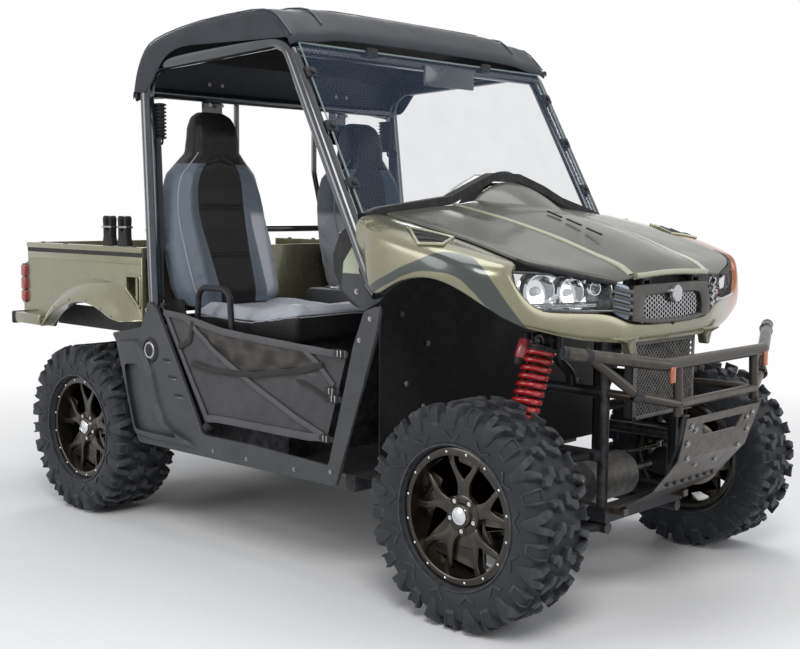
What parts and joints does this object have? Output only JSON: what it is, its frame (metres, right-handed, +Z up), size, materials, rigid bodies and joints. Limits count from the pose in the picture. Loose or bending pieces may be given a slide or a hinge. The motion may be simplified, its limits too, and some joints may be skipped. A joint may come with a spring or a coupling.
{
  "type": "side by side utility vehicle",
  "caption": "Two-seat side by side utility vehicle with a roof, roll cage, fabric half doors, tilting cargo bed and a tube brush guard.",
  "frame": {"origin": "on the floor, midway between the front tip, the rear tip and the two sides", "axes": "+X forward, +Y to the vehicle's left, +Z up"},
  "size_m": [2.85, 1.5, 1.86],
  "materials": {
    "tyre": "matte",
    "black_alloy": "satin",
    "black_frame": "satin",
    "gloss_cage": "gloss",
    "bare_steel": "satin",
    "cast_parts": "matte",
    "spring_red": "gloss",
    "olive_body": "satin",
    "roof_plastic": "satin",
    "grey_plastic": "satin",
    "black_plastic": "matte",
    "gloss_black": "gloss",
    "pane": "clear",
    "lens": "clear",
    "red_lens": "gloss",
    "seat_vinyl": "satin",
    "webbing": "woven",
    "door_fabric": "woven",
    "bumper_paint": "satin",
    "seal_rubber": "matte"
  },
  "bodies": {
    "wheel_front_left": {"tyre_front_left": "tyre", "rim_front_left": "black_alloy"},
    "wheel_front_right": {"tyre_front_right": "tyre", "rim_front_right": "black_alloy"},
    "wheel_rear_left": {"tyre_rear_left": "tyre", "rim_rear_left": "black_alloy"},
    "wheel_rear_right": {"tyre_rear_right": "tyre", "rim_rear_right": "black_alloy"},
    "knuckle_left": {"knuckle_left": "cast_parts"},
    "door_left": {"door_left": "door_fabric"},
    "knuckle_right": {"knuckle_right": "cast_parts"},
    "door_right": {"door_right": "door_fabric"},
    "chassis": {"frame": "black_frame", "front_towers": "black_frame", "rear_towers": "black_frame", "suspension_arms": "black_frame", "rear_uprights": "cast_parts", "shock_absorbers": "black_frame", "coil_springs": "spring_red", "engine": "cast_parts", "gearboxes": "cast_parts", "half_shafts": "seal_rubber", "seat_base": "black_plastic", "floor_pan": "black_plastic", "roll_cage": "gloss_cage", "roof": "roof_plastic", "windshield": "pane", "mirror": "gloss_black", "front_body": "olive_body", "cowl_seal": "seal_rubber", "headlights": "lens", "grille": "black_plastic", "front_bumper": "bumper_paint", "skid_plate": "bumper_paint", "radiator": "bare_steel", "side_panels": "grey_plastic", "door_rods": "bare_steel", "pillar_plates": "grey_plastic", "dashboard": "black_plastic", "steering_column": "black_frame", "seats": "seat_vinyl", "hip_rails": "black_frame", "seat_belts": "webbing", "console": "gloss_black", "rear_bumper": "black_frame", "silencer": "bare_steel"},
    "steering_rack": {"steering_rack": "bare_steel"},
    "steering_wheel": {"steering_wheel": "black_plastic"},
    "hood": {"hood": "olive_body"},
    "cargo_bed": {"cargo_bed": "olive_body", "rear_fenders": "olive_body", "tail_lamps": "red_lens", "tool_clamps": "seal_rubber"},
    "tailgate": {"tailgate": "olive_body"}
  },
  "joints": [
    {"name": "steer_left", "type": "hinge", "parent": "chassis", "child": "knuckle_left", "pos_m": [0.985, 0.54, 0.325], "axis": [0, 0, 1], "range_deg": [-28, 28]},
    {"name": "steer_right", "type": "hinge", "parent": "chassis", "child": "knuckle_right", "pos_m": [0.985, -0.54, 0.325], "axis": [0, 0, 1], "range_deg": [-28, 28]},
    {"name": "spin_front_left", "type": "hinge", "parent": "knuckle_left", "child": "wheel_front_left", "pos_m": [0.985, 0.6175, 0.325], "axis": [0, 1, 0], "continuous": true},
    {"name": "spin_front_right", "type": "hinge", "parent": "knuckle_right", "child": "wheel_front_right", "pos_m": [0.985, -0.6175, 0.325], "axis": [0, 1, 0], "continuous": true},
    {"name": "spin_rear_left", "type": "hinge", "parent": "chassis", "child": "wheel_rear_left", "pos_m": [-0.94, 0.62, 0.325], "axis": [0, 1, 0], "continuous": true},
    {"name": "spin_rear_right", "type": "hinge", "parent": "chassis", "child": "wheel_rear_right", "pos_m": [-0.94, -0.62, 0.325], "axis": [0, 1, 0], "continuous": true},
    {"name": "rack_slide", "type": "slide", "parent": "chassis", "child": "steering_rack", "axis": [0, 1, 0], "range_m": [-0.055, 0.055]},
    {"name": "steer_wheel", "type": "hinge", "parent": "chassis", "child": "steering_wheel", "pos_m": [0.175, 0.39, 1.19], "axis": [-0.8192, 0, 0.5736], "range_deg": [-340, 340]},
    {"name": "hood_tilt", "type": "hinge", "parent": "chassis", "child": "hood", "pos_m": [1.226, 0, 0.986], "axis": [0, 1, 0], "range_deg": [0, 55]},
    {"name": "bed_tilt", "type": "hinge", "parent": "chassis", "child": "cargo_bed", "pos_m": [-1.215, 0, 0.69], "axis": [0, -1, 0], "range_deg": [0, 38]},
    {"name": "tailgate_hinge", "type": "hinge", "parent": "cargo_bed", "child": "tailgate", "pos_m": [-1.404, 0, 0.815], "axis": [0, -1, 0], "range_deg": [0, 90]},
    {"name": "door_hinge_left", "type": "hinge", "parent": "chassis", "child": "door_left", "pos_m": [-0.3045, 0.684, 0.6275], "axis": [0.5394, 0, -0.842], "range_deg": [-75, 0]},
    {"name": "door_hinge_right", "type": "hinge", "parent": "chassis", "child": "door_right", "pos_m": [-0.3045, -0.684, 0.6275], "axis": [0.5394, 0, -0.842], "range_deg": [0, 75]}
  ],
  "couplings": [
    {"joint": "steer_right", "follows": "steer_left", "ratio": 1},
    {"joint": "rack_slide", "follows": "steer_left", "m_per_rad": -0.105},
    {"joint": "steer_wheel", "follows": "steer_left", "ratio": 12}
  ]
}
